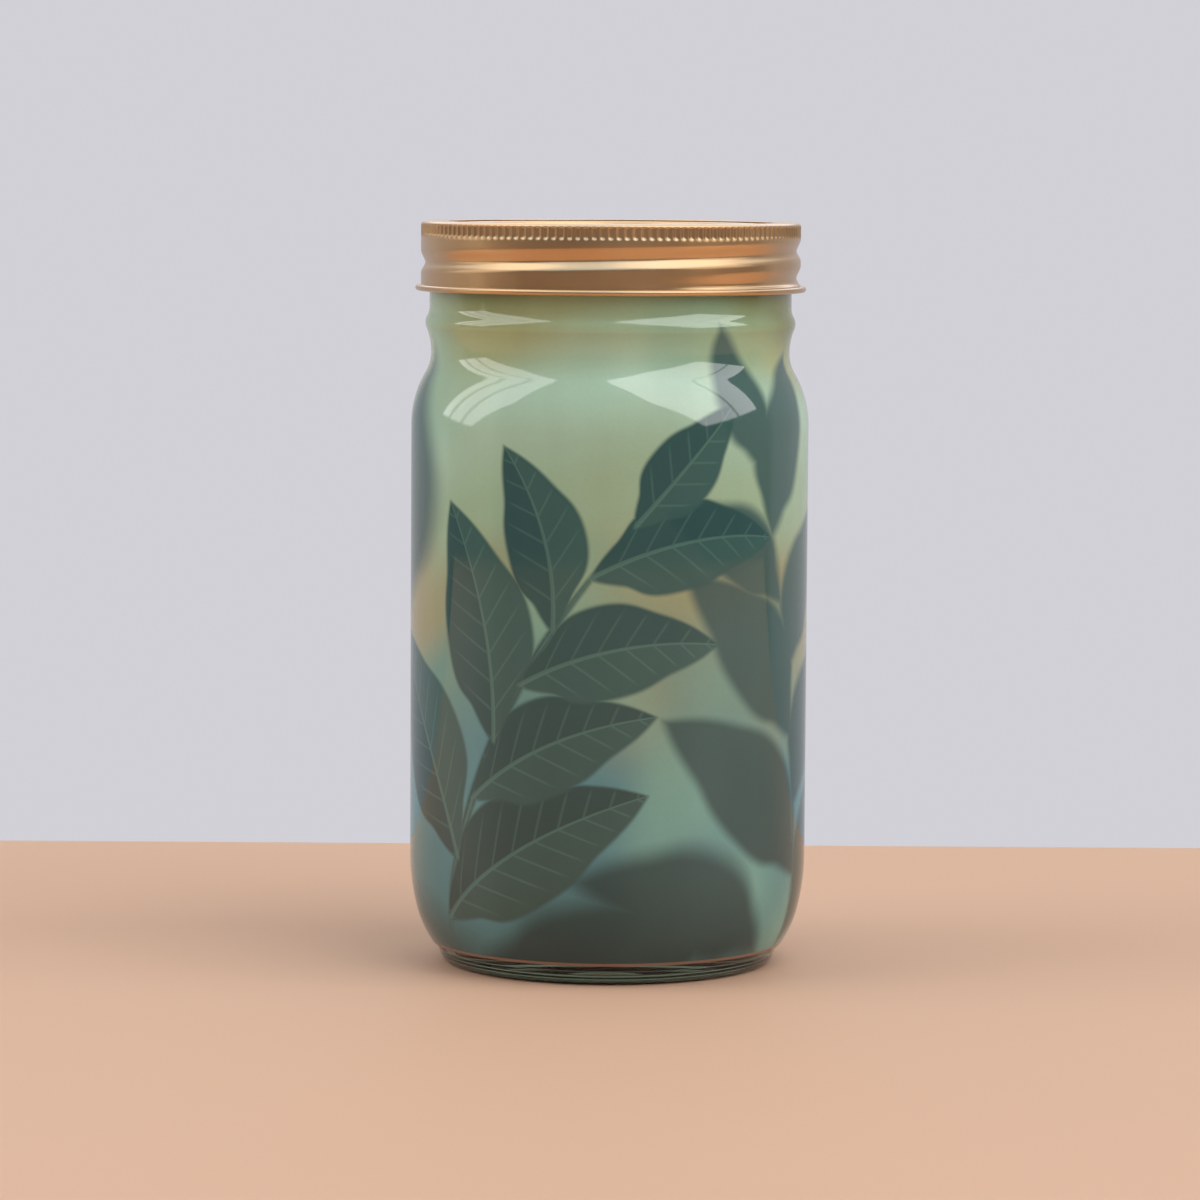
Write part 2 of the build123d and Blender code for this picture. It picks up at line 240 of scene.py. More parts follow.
def bendHeight(step, first, second):
    return (first + second) * sin(radians(abs(bendTurn(step, first, second))))


def drawBend(pen, step, first, second, skin, steps):
    turn = bendTurn(step, first, second)
    pen.arc(first + copysign(skin, step), turn, steps)
    pen.arc(second - copysign(skin, step), -turn, steps)


sweepHeight = bendHeight(neckR - beadR, glassJar["neckSweep"], glassJar["beadRound"])
neckZ = rimZ - glassJar["beadBelowRim"] - sweepHeight
shoulderZ = neckZ - bendHeight(bodyR - neckR, glassJar["shoulderRound"], glassJar["neckRound"])


def heelStart(skin, bottom):                 # radius and heading of the outside at the height where it starts
    angle = radians(glassJar["heelAngle"])
    reach = glassJar["heelUpper"] - glassJar["heelLower"]
    lower = glassJar["heelLower"] + skin
    lean = asin((glassJar["heelHeight"] - reach * sin(angle) - bottom) / lower)
    return bodyR - glassJar["heelUpper"] + reach * cos(angle) + lower * cos(lean), 90 - degrees(lean)


def climbSide(pen, skin, top, finishSteps):      # heel, body, shoulder, neck bead and finish
    pen.arc(glassJar["heelLower"] + skin, 90 - degrees(pen.heading) - glassJar["heelAngle"], steps=16)
    pen.arc(glassJar["heelUpper"] + skin, glassJar["heelAngle"], steps=8)
    pen.lineTo(bodyR + skin, shoulderZ, steps=12)
    drawBend(pen, bodyR - neckR, glassJar["shoulderRound"], glassJar["neckRound"], skin, steps=14)
    drawBend(pen, neckR - beadR, glassJar["neckSweep"], glassJar["beadRound"], skin, steps=9)
    drawBend(pen, beadR - finishR, glassJar["beadRound"], glassJar["collarRound"], skin, steps=9)
    pen.lineTo(finishR + skin, top, finishSteps)


def raiseThread(bm):
    lead, turns = glassJar["threadLead"], glassJar["threadTurns"]
    endAngle = glassJar["threadEnd"]
    startAngle = endAngle - 360 * turns
    endZ = rimZ - glassJar["threadBelowRim"]
    for vert in bm.verts:
        r = Vector((vert.co.x, vert.co.y)).length / mm
        if r < finishR - glassJar["finishSlack"] or vert.co.z / mm < rimZ - glassJar["finishHeight"]:
            continue
        best = 0
        for lap in laps:
            angle = degrees(atan2(vert.co.y, vert.co.x)) + lap
            above = vert.co.z / mm - endZ - lead * (angle - endAngle) / 360
            past = radians(max(0, startAngle - angle, angle - endAngle)) * finishR
            away = sqrt(above ** 2 + past ** 2) / glassJar["threadHalf"]
            if away < 1:
                best = max(best, cos(away * pi / 2) ** 2)
        scale = 1 + best * glassJar["threadHeight"] / r
        vert.co.x *= scale
        vert.co.y *= scale


def buildGlassJar(material):
    bm = bmesh.new()
    heelR, heelHeading = heelStart(0, glassJar["footHeight"])
    footR = heelR - glassJar["footStep"]
    bearingR = footR - glassJar["footRound"]
    floorZ = glassJar["pushUp"] + glassJar["baseThickness"]
    pen = Pen(bm, 0, glassJar["pushUp"])
    pen.lineTo(bearingR - glassJar["bearingWidth"], 0, steps=8)
    pen.lineTo(bearingR, 0, steps=2)
    pen.arc(glassJar["footRound"], 90, steps=10)
    pen.lineTo(footR + glassJar["edgeOut"], glassJar["footHeight"] - glassJar["edgeDrop"])
    pen.lineTo(heelR - glassJar["edgeIn"], glassJar["footHeight"] - glassJar["edgeLow"])
    pen.lineTo(heelR, glassJar["footHeight"])
    pen.heading = radians(heelHeading)
    climbSide(pen, 0, rimZ - glassJar["rimRound"], finishSteps=52)
    pen.arc(glassJar["rimRound"], 90, steps=8)
    pen.lineTo(mouthR + glassJar["rimRound"], rimZ)
    pen.arc(glassJar["rimRound"], 90, steps=8)
    pen.lineTo(mouthR, neckZ, steps=4)
    drawBend(pen, bodyInnerR - mouthR, glassJar["neckRound"] + glassJar["wall"],
             glassJar["shoulderRound"] - glassJar["wall"], skin=0, steps=10)
    pen.lineTo(bodyInnerR, floorZ + glassJar["innerHeel"], steps=10)
    pen.arc(glassJar["innerHeel"], -90, steps=14)
    pen.lineTo(0, floorZ, steps=6)
    spinRound(bm, glassJar["roundSteps"])
    raiseThread(bm)
    return makePiece("jarGlass", bm, material, "jar", ["glass_jar"])


# printed sleeve: thin film on the glass, from above the foot to below the thread

printedSleeve = {"film": 0.2, "fit": 0.05, "roundSteps": 224}
sleeveLow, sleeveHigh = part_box("printed_sleeve")


def buildSleeve(material):
    bm = bmesh.new()
    bottom, top = sleeveLow.z / mm, sleeveHigh.z / mm
    paths = []
    for skin in (printedSleeve["fit"], printedSleeve["fit"] + printedSleeve["film"]):
        startR, heading = heelStart(skin, bottom)
        pen = Pen(bm, startR, bottom, heading)
        climbSide(pen, skin, top, finishSteps=2)
        paths.append(pen)
    inner, outer = paths
    inner.joinTo(outer.tip)
    bmesh.ops.contextual_create(bm, geom=[inner.first, outer.first])
    spinRound(bm, printedSleeve["roundSteps"])
    return makePiece("sleeveFilm", bm, material, "jar", ["printed_sleeve"])


# screw band: sheet section spun round, then fluted and rolled

screwBand = {
    "radius": 44.8, "sheet": 0.35, "topZ": bandHigh.z / mm, "lipRadius": 38.45, "topRound": 1.1,
    "curlRound": 0.7, "curlReach": 0.6, "curlFillet": 0.4, "curlTurn": 215, "curlClear": 0.6,
    "flutes": 148, "stepsPerFlute": 6, "fluteDepth": 0.45, "fluteLow": 172.0, "fluteEnd": 0.7,
    "fluteTop": 0.5, "fluteFade": 0.45,
    "grooveDepth": 1.05, "grooveUpper": 2.75, "grooveLower": 2.2, "grooveSharp": 0.35, "grooveZ": 162.85,
    "grooveLead": 6.35, "grooveFrom": 6.0, "fadeIn": (-80.0, -20.0), "fadeOut": (365.0, 400.0),
}
curlZ = bandLow.z / mm + screwBand["curlRound"]


def grooveDepth(angle, z):
    sizes = screwBand
    deepest = 0
    for lap in laps:
        turn = angle + lap
        fade = smoothStep(*sizes["fadeIn"], turn) * (1 - smoothStep(*sizes["fadeOut"], turn))
        above = z - sizes["grooveZ"] - sizes["grooveLead"] * (turn - sizes["grooveFrom"]) / 360
        near = 1 - abs(above) / (sizes["grooveUpper"] if above > 0 else sizes["grooveLower"])
        if near > 0:
            flank = near - sizes["grooveSharp"] * sin(2 * pi * near) / (2 * pi)
            deepest = max(deepest, sizes["grooveDepth"] * fade * flank)
    return deepest


def shapeBand(bm):                           # rolls the groove, then presses the flutes in from the side
    sizes = screwBand
    radius, sheet, corner = sizes["radius"], sizes["sheet"], sizes["topRound"]
    curlTop = curlZ + sizes["curlRound"]
    cornerR, cornerZ = radius - corner, sizes["topZ"] - corner
    for vert in bm.verts:
        r = Vector((vert.co.x, vert.co.y)).length / mm
        z = vert.co.z / mm
        if r < cornerR or z < curlTop:
            continue
        angle = atan2(vert.co.y, vert.co.x)
        sink = grooveDepth(degrees(angle), z) * smoothStep(curlTop, curlTop + sizes["curlClear"], z)
        depth = r - cornerR if z < cornerZ else sqrt((r - cornerR) ** 2 + (z - cornerZ) ** 2)
        face = r if depth > corner - sheet / 2 else r + sheet
        flute = sizes["fluteDepth"] * smoothStep(sizes["fluteLow"], sizes["fluteLow"] + sizes["fluteEnd"], z)
        below = sizes["topZ"] - z            # the corner above the flutes stays smooth
        flute *= smoothStep(sizes["fluteTop"], sizes["fluteTop"] + sizes["fluteFade"], below)
        flute *= 0.5 + 0.5 * cos(sizes["flutes"] * angle)
        sink += max(0, face - radius + flute)
        vert.co.x *= 1 - sink / r
        vert.co.y *= 1 - sink / r


def buildBand(material):
    sizes = screwBand
    sheet, radius, topZ = sizes["sheet"], sizes["radius"], sizes["topZ"]
    edge = sheet / 2
    fillet, curl = sizes["curlFillet"], sizes["curlRound"]
    across = sizes["curlReach"] - fillet
    filletZ = curlZ + sqrt((curl + fillet) ** 2 - across ** 2)
    filletTurn = 90 + degrees(asin(across / (curl + fillet)))
    bm = bmesh.new()
    pen = Pen(bm, sizes["lipRadius"] + edge, topZ - sheet, 180)
    pen.arc(edge, -180, steps=4)
    pen.lineTo(radius - sizes["topRound"], topZ)
    pen.arc(sizes["topRound"], -90, steps=12)
    pen.lineTo(radius, filletZ, steps=40)
    pen.arc(fillet, filletTurn, steps=6)
    pen.arc(curl, -sizes["curlTurn"], steps=14)
    pen.arc(edge, -180, steps=3)
    pen.arc(curl - sheet, sizes["curlTurn"], steps=6)
    pen.arc(fillet + sheet, -filletTurn, steps=4)
    pen.lineTo(radius - sheet, topZ - sizes["topRound"], steps=16)
    pen.arc(sizes["topRound"] - sheet, 90, steps=4)
    pen.lineTo(sizes["lipRadius"] + edge, topZ - sheet)
    spinRound(bm, sizes["flutes"] * sizes["stepsPerFlute"])
    shapeBand(bm)
    return makePiece("bandShell", bm, material, "band", ["screw_band"], sharp=60)


# lid disc and its seal

lidDisc = {
    "sheet": 0.3, "lowerBend": 0.8, "upperBend": 0.5, "slope": 63.4, "stepOut": 36.95, "roundSteps": 192,
}
lidSeal = {"width": 3.0, "corner": 0.25, "roundSteps": 160}
discLow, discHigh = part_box("lid_disc")
sealLow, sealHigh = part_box("lid_seal")


def buildDisc(material):
    sheet, slope = lidDisc["sheet"], lidDisc["slope"]
    bends = lidDisc["lowerBend"] + lidDisc["upperBend"]
    low, high, radius = discLow.z / mm, discHigh.z / mm, discHigh.x / mm
    rise = high - low - sheet
    straight = (rise - bends * (1 - cos(radians(slope)))) / sin(radians(slope))
    run = bends * sin(radians(slope)) + straight * cos(radians(slope))
    bm = bmesh.new()
    pen = Pen(bm, 0, low)
    pen.lineTo(lidDisc["stepOut"] - run, low, steps=12)
    pen.arc(lidDisc["lowerBend"], slope, steps=6)
    pen.forward(straight)
    pen.arc(lidDisc["upperBend"], -slope, steps=6)
    pen.lineTo(radius - sheet / 2, low + rise, steps=2)
    pen.arc(sheet / 2, 180, steps=4)
    pen.lineTo(lidDisc["stepOut"], high, steps=2)
    pen.arc(lidDisc["upperBend"] + sheet, slope, steps=6)
    pen.forward(straight)
    pen.arc(lidDisc["lowerBend"] - sheet, -slope, steps=6)
    pen.lineTo(0, low + sheet, steps=12)
    spinRound(bm, lidDisc["roundSteps"])
    return makePiece("discPlate", bm, material, "lid", ["lid_disc"])


def buildSeal(material):
    corner = lidSeal["corner"]
    low, high, outer = sealLow.z / mm, sealHigh.z / mm, sealHigh.x / mm
    inner = outer - lidSeal["width"]
    bm = bmesh.new()
    pen = Pen(bm, inner + corner, low)
    pen.lineTo(outer - corner, low)
    pen.arc(corner, 90, steps=4)
    pen.lineTo(outer, high - corner)
    pen.arc(corner, 90, steps=4)
    pen.lineTo(inner + corner, high)
    pen.arc(corner, 90, steps=4)
    pen.lineTo(inner, low + corner)
    pen.arc(corner, 90, steps=4)
    spinRound(bm, lidSeal["roundSteps"])
    return makePiece("sealRing", bm, material, "lid", ["lid_seal"])


# wick: felt strip bent over the pot's floor, both tails hanging

wickStrip = {
    "thickness": 2.4, "width": 14.0, "spacing": 18.0, "bend": 0.6, "rows": 7,
    "waver": 0.25, "waverScale": 60, "waverStart": 6.0,
}
wickLow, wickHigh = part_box("wick")


def buildWick(material):
    half, across = wickStrip["thickness"] / 2, wickStrip["width"]
    bend = wickStrip["bend"] + half
    low, top, side = wickLow.z / mm, wickHigh.z / mm - half, wickStrip["spacing"] / 2
    bm = bmesh.new()
    pen = Pen(bm, side, low, 90)
    pen.lineTo(side, top - bend, steps=44)
    pen.arc(bend, 90, steps=5)
    pen.lineTo(bend - side, top, steps=6)
    pen.arc(bend, 90, steps=5)
    pen.lineTo(-side, low, steps=44)
    bmesh.ops.translate(bm, verts=bm.verts[:], vec=(0, -across / 2 * mm, 0))
    rows = wickStrip["rows"]
    edges = bm.edges[:]
    for row in range(rows):
        grown = bmesh.ops.extrude_edge_only(bm, edges=edges)["geom"]
        bmesh.ops.translate(bm, verts=vertsOf(grown), vec=(0, across / rows * mm, 0))
        edges = [part for part in grown if isinstance(part, bmesh.types.BMEdge) and part.is_boundary
                 and abs(part.verts[0].co.y - part.verts[1].co.y) < weld]
    bmesh.ops.recalc_face_normals(bm, faces=bm.faces[:])
    bmesh.ops.solidify(bm, geom=bm.faces[:], thickness=wickStrip["thickness"] * mm)
    for vert in bm.verts:                    # the tails waver more the lower they hang
        hang = smoothStep(top - wickStrip["waverStart"], low, vert.co.z / mm) * wickStrip["waver"]
        vert.co.x += noise.noise(vert.co * wickStrip["waverScale"]) * hang * mm
    bm.normal_update()
    piece = makePiece("wickFelt", bm, material, "jar", ["wick"], sharp=60)
    return piece


# coir disc: pressed fibre, uneven on every side

coirDisc = {
    "corner": 2.0, "roundSteps": 144, "rough": 0.5, "sunk": 0.5,
    "grains": ((0.3, 420), (0.2, 1500)),     # share and noise scale of the lumps and the fibres
}
coirLow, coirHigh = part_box("coir_disc")


def buildCoir(material):
    low, high, radius, corner = coirLow.z / mm, coirHigh.z / mm, coirHigh.x / mm, coirDisc["corner"]
    bm = bmesh.new()
    pen = Pen(bm, 0, low)
    pen.lineTo(radius - corner, low, steps=22)
    pen.arc(corner, 90, steps=5)
    pen.lineTo(radius, high - corner, steps=10)
    pen.arc(corner, 90, steps=5)
    pen.lineTo(0, high, steps=22)
    spinRound(bm, coirDisc["roundSteps"])
    bm.normal_update()
    for vert in bm.verts:                    # only sunk, so the disc stays clear of its neighbours
        grain = coirDisc["sunk"]
        for share, scale in coirDisc["grains"]:
            grain += share * noise.noise(vert.co * scale)
        vert.co -= vert.normal * grain * coirDisc["rough"] * mm
    return makePiece("coirCake", bm, material, "jar", ["coir_disc"], sharp=180)


# sachets: filled middle, flat crimped seam all round

sachetSeam = {
    "thickness": 0.6, "margin": 4.0, "crimp": 0.12, "crimpPitch": 1.6, "crimpEnd": 0.12, "rest": 0.12,
    "crease": 0.12, "creaseScale": 0.16, "cuts": (41, 43),
}
sachets = {
    "carbon_sachet": {
        "name": "carbonPacket", "width": 42.0, "length": 44.0, "turn": 8.0, "fill": 0.7,
        "slot": "carbon_paper", "dark": tint(46, 46, 46), "light": tint(66, 65, 63),
    },
    "plant_food_sachet": {
        "name": "plantFoodPacket", "width": 38.0, "length": 44.0, "turn": -14.0, "fill": 0.5,
        "slot": "plant_food_paper", "dark": tint(170, 138, 96), "light": tint(204, 176, 134),
    },
    "seed_sachet": {
        "name": "seedPacket", "width": 34.0, "length": 42.0, "turn": 20.0, "fill": 0.3,
        "slot": "seed_paper", "dark": tint(214, 208, 194), "light": tint(238, 234, 224),
    },
}


def buildSachet(node, material):
    sizes = sachets[node]
    low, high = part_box(node)
    width, length = sizes["width"], sizes["length"]
    bulge = (high.z - low.z) / mm / 2 - sachetSeam["rest"]
    seam = sachetSeam["thickness"] / 2
    bm = bmesh.new()
    bmesh.ops.create_cube(bm, size=mm)
    bmesh.ops.scale(bm, vec=(width, length, 2 * seam), verts=bm.verts[:])
    for axis, cuts in enumerate(sachetSeam["cuts"]):
        long = [edge for edge in bm.edges if abs(edge.verts[0].co[axis] - edge.verts[1].co[axis]) > mm]
        bmesh.ops.subdivide_edges(bm, edges=long, cuts=cuts, use_grid_fill=True)
    for vert in bm.verts:
        x, y = vert.co.x / mm, vert.co.y / mm
        inX = min(max((width / 2 - sachetSeam["margin"] - abs(x)) / (width / 4), 0), 1)
        inY = min(max((length / 2 - sachetSeam["margin"] - abs(y)) / (length / 4), 0), 1)
        swell = sqrt(sin(inX * pi / 2) * sin(inY * pi / 2))
        crease = 1 + sachetSeam["crease"] * noise.noise(Vector((x, y, bulge)) * sachetSeam["creaseScale"])
        flat = 1 - smoothStep(0, sachetSeam["crimpEnd"], swell)
        lift = seam + (bulge - seam) * min(swell * crease, 1)
        along = x if abs(y) / length > abs(x) / width else y
        vert.co.z = copysign(lift, vert.co.z) * mm
        vert.co.z += flat * sachetSeam["crimp"] * sin(2 * pi * along / sachetSeam["crimpPitch"]) * mm
    turn = Matrix.Rotation(radians(sizes["turn"]), 3, "Z")
    bmesh.ops.rotate(bm, verts=bm.verts[:], cent=(0, 0, 0), matrix=turn)
    bmesh.ops.translate(bm, verts=bm.verts[:], vec=(0, 0, (low.z + high.z) / 2))
    bmesh.ops.recalc_face_normals(bm, faces=bm.faces[:])
    piece = makePiece(sizes["name"], bm, material, "jar", [node], sharp=50)
    return piece


# materials

glassLook = {
    "tone": (0.95, 0.98, 0.96, 1), "ior": 1.5, "roughness": 0.01,
    "depth": (0.56, 0.63, 0.54, 1), "density": 58,
}


def clearGlass():
    material, tree, shader, place = newMaterial("clearGlass")
    ripple = addNoise(tree, place, scale=30, detail=1.0)
    feed(tree, shader, Base_Color=glassLook["tone"], Transmission_Weight=1.0, IOR=glassLook["ior"],
         Roughness=glassLook["roughness"], Normal=addBump(tree, ripple, strength=0.12, distance=0.0006))
    depth = addNode(tree, "ShaderNodeVolumeAbsorption",
                    {"Color": glassLook["depth"], "Density": glassLook["density"]})
    tree.links.new(depth.outputs[0], tree.nodes["Material Output"].inputs["Volume"])
    return material


printLook = {                                # sizes in millimetres, the rest are shares
    "radius": 47.0, "height": 163.0,
    "heights": [
        (0.00, tint(58, 88, 88)), (0.10, tint(80, 124, 128)), (0.27, tint(90, 138, 144)),
        (0.42, tint(114, 152, 138)), (0.55, tint(156, 156, 118)), (0.68, tint(158, 184, 152)),
        # towards the top, under the band, the ramp turns dark olive: partly print colour, partly painted
        # shade and painted reflection of the gold band
        (0.84, tint(170, 202, 178)), (0.92, tint(160, 170, 124)), (1.00, tint(122, 130, 82)),
    ],
    "drift": 0.09, "driftSpan": (0.25, 0.75),
    "olive": tint(166, 150, 108), "oliveSpan": (0.48, 0.72), "oliveMost": 0.75,
    "oliveZ": 88.0, "oliveReach": (12.0, 48.0),
    "mint": tint(138, 182, 158), "mintSpan": (0.5, 0.75), "mintMost": 0.6,
    "leafHigh": tint(44, 80, 80), "leafLow": tint(44, 63, 59), "leafClimb": (10.0, 80.0), "leafCover": 0.97,
    "softLeaf": tint(50, 84, 85), "softLow": tint(36, 57, 55), "softCover": 0.9,
    # painted reflection: this brown band at the film's lower edge stands for the table seen in the glass heel
    "tableReflection": tint(136, 103, 88), "tableReflectionTop": 5.65,
    "vein": tint(98, 138, 124), "veinLift": 0.4, "ribHalf": 0.45, "veinHalf": 0.22, "veinEdge": 0.3,
    "veinPitch": 6.5, "veinSlant": 0.9, "veinShare": 0.55, "veinFade": (0.55, 0.95),
    "litHalf": 0.16, "litEdge": 0.5, "leastHalf": 0.1,
    "leafCurve": ((0.0, 0.07), (0.14, 0.46), (0.42, 1.0), (0.74, 0.64), (1.0, 0.0)),
    "streak": (0.955, 1.03), "grain": (0.985, 1.015), "roughness": (0.03, 0.05), "ior": 1.5,
}
# base across from the front and up, heading from upright, sizes in millimetres
twigs = [
    {"base": (-46, 2), "heading": 27, "length": 122, "bend": -9, "leaves": 7, "leaf": (60, 13.5),
     "splay": 46, "soft": 0.7, "layer": "crisp"},
    {"base": (56, -6), "heading": -8, "length": 132, "bend": 6, "leaves": 7, "leaf": (56, 12.5),
     "splay": 40, "soft": 1.9, "layer": "soft"},
    {"base": (128, 4), "heading": 14, "length": 120, "bend": 8, "leaves": 7, "leaf": (58, 12.5),
     "splay": 44, "soft": 0.9, "layer": "crisp"},
    {"base": (-98, 0), "heading": -8, "length": 128, "bend": -6, "leaves": 7, "leaf": (56, 12.5),
     "splay": 40, "soft": 2.6, "layer": "soft"},
]
looseLeaves = [                              # broad blurred leaves
    {"base": (-34, 4), "heading": 78, "size": (70, 15), "soft": 4.0},
    {"base": (44, 6), "heading": -70, "size": (56, 13), "soft": 4.0},
    {"base": (92, 4), "heading": 40, "size": (58, 14), "soft": 5.0},
    {"base": (-72, 84), "heading": 10, "size": (62, 14), "soft": 6.0},
]
twigGrowth = {                               # how leaves are set along a twig
    "stemHalf": 1.3, "firstLeaf": 0.1, "leafSpan": 0.86, "leafBend": 4.0, "looseBend": 5.0,
    "lowSize": 1.06, "sizeDrop": 0.4, "sizeVary": 0.1, "sizeStep": 2.4, "splayVary": 6, "splayStep": 1.7,
}
leafSockets = {
    "INPUT": ("Across", "Up", "Base Across", "Base Up", "Sine", "Cosine", "Length", "Half Width",
              "Bend", "Soft"),
    "OUTPUT": ("Cover", "Vein", "Lit"),
}


def leafShape():                             # one leaf's cover, veins and lit half on the unrolled print
    group = bpy.data.node_groups.new("leafShape", "ShaderNodeTree")
    for way, names in leafSockets.items():
        for name in names:
            group.interface.new_socket(name, in_out=way, socket_type="NodeSocketFloat")
    given = addNode(group, "NodeGroupInput").outputs

    def calc(operation, *values, clamp=False):
        return addMath(group, operation, *values, clamp=clamp)

    halfTurn = pi * printLook["radius"]
    across = calc("WRAP", calc("SUBTRACT", given["Across"], given["Base Across"]), halfTurn, -halfTurn)
    up = calc("SUBTRACT", given["Up"], given["Base Up"])
    along = calc("MULTIPLY_ADD", across, given["Sine"], calc("MULTIPLY", up, given["Cosine"]))
    side = calc("SUBTRACT", calc("MULTIPLY", across, given["Cosine"]), calc("MULTIPLY", up, given["Sine"]))
    share = calc("DIVIDE", along, given["Length"], clamp=True)
    arch = calc("MULTIPLY", calc("MULTIPLY", share, calc("SUBTRACT", 1.0, share)), 4.0)
    side = calc("SUBTRACT", side, calc("MULTIPLY", arch, given["Bend"]))
    curve = addNode(group, "ShaderNodeFloatCurve", {"Value": share})
    points = curve.mapping.curves[0].points
    while len(points) < len(printLook["leafCurve"]):
        points.new(0.5, 0.5)
    for point, place in zip(points, printLook["leafCurve"]):
        point.location = place
    curve.mapping.update()
    half = calc("MULTIPLY", curve.outputs[0], given["Half Width"])
    out = calc("ABSOLUTE", side)
    past = calc("MAXIMUM", calc("SUBTRACT", along, given["Length"]), calc("MULTIPLY", along, -1.0))
    edge = calc("ADD", calc("SUBTRACT", out, half), calc("MAXIMUM", past, 0.0))
    inside = calc("MULTIPLY", given["Soft"], -1.0)
    cover = addEase(group, edge, inside, given["Soft"], 1.0, 0.0)
    ribHalf = calc("MULTIPLY", calc("SUBTRACT", 1.0, share), printLook["ribHalf"])
    veinHalf, veinEdge = printLook["veinHalf"], printLook["veinEdge"]
    rib = addEase(group, calc("SUBTRACT", out, ribHalf), 0.0, veinEdge, 1.0, 0.0)
    climb = calc("MULTIPLY_ADD", out, -printLook["veinSlant"], along)
    nearest = calc("PINGPONG", climb, printLook["veinPitch"] / 2)
    sideVein = addEase(group, nearest, veinHalf, veinHalf + veinEdge, printLook["veinShare"], 0.0)
    reach = calc("DIVIDE", out, calc("MAXIMUM", half, printLook["leastHalf"]))
    fade = addEase(group, reach, *printLook["veinFade"], 1.0, 0.0)
    vein = calc("MAXIMUM", rib, calc("MULTIPLY", sideVein, fade))
    lit = addEase(group, side, -printLook["litEdge"], printLook["litEdge"])
    addNode(group, "NodeGroupOutput", {"Cover": cover, "Vein": vein, "Lit": lit})
    return group


def listLeaves():                            # base, heading, length, half width, bend and softness of each
    leaves = {"crisp": [], "soft": []}
    grow = twigGrowth
    for twig in twigs:
        heading, bend, length = radians(twig["heading"]), twig["bend"], twig["length"]
        count, (leafLength, leafHalf) = twig["leaves"], twig["leaf"]
        layer = leaves[twig["layer"]]
        layer.append((twig["base"], heading, length, grow["stemHalf"], bend, twig["soft"]))
        for index in range(count + 1):
            share = grow["firstLeaf"] + grow["leafSpan"] * index / count
            aside = 4 * bend * share * (1 - share)
            base = (twig["base"][0] + share * length * sin(heading) + aside * cos(heading),
                    twig["base"][1] + share * length * cos(heading) - aside * sin(heading))
            lean = heading + atan2(4 * bend * (1 - 2 * share), length)
            hand = (-1) ** index if index < count else 0    # the last leaf ends the twig
            vary = 1 + grow["sizeVary"] * sin(grow["sizeStep"] * index)
            size = (grow["lowSize"] - grow["sizeDrop"] * share) * vary
            turned = lean + hand * radians(twig["splay"] + grow["splayVary"] * sin(grow["splayStep"] * index))
            arch = -hand * grow["leafBend"]
            layer.append((base, turned, leafLength * size, leafHalf * size, arch, twig["soft"]))
    for leaf in looseLeaves:
        leaves["soft"].append((leaf["base"], radians(leaf["heading"]), *leaf["size"],
                               grow["looseBend"], leaf["soft"]))
    return leaves


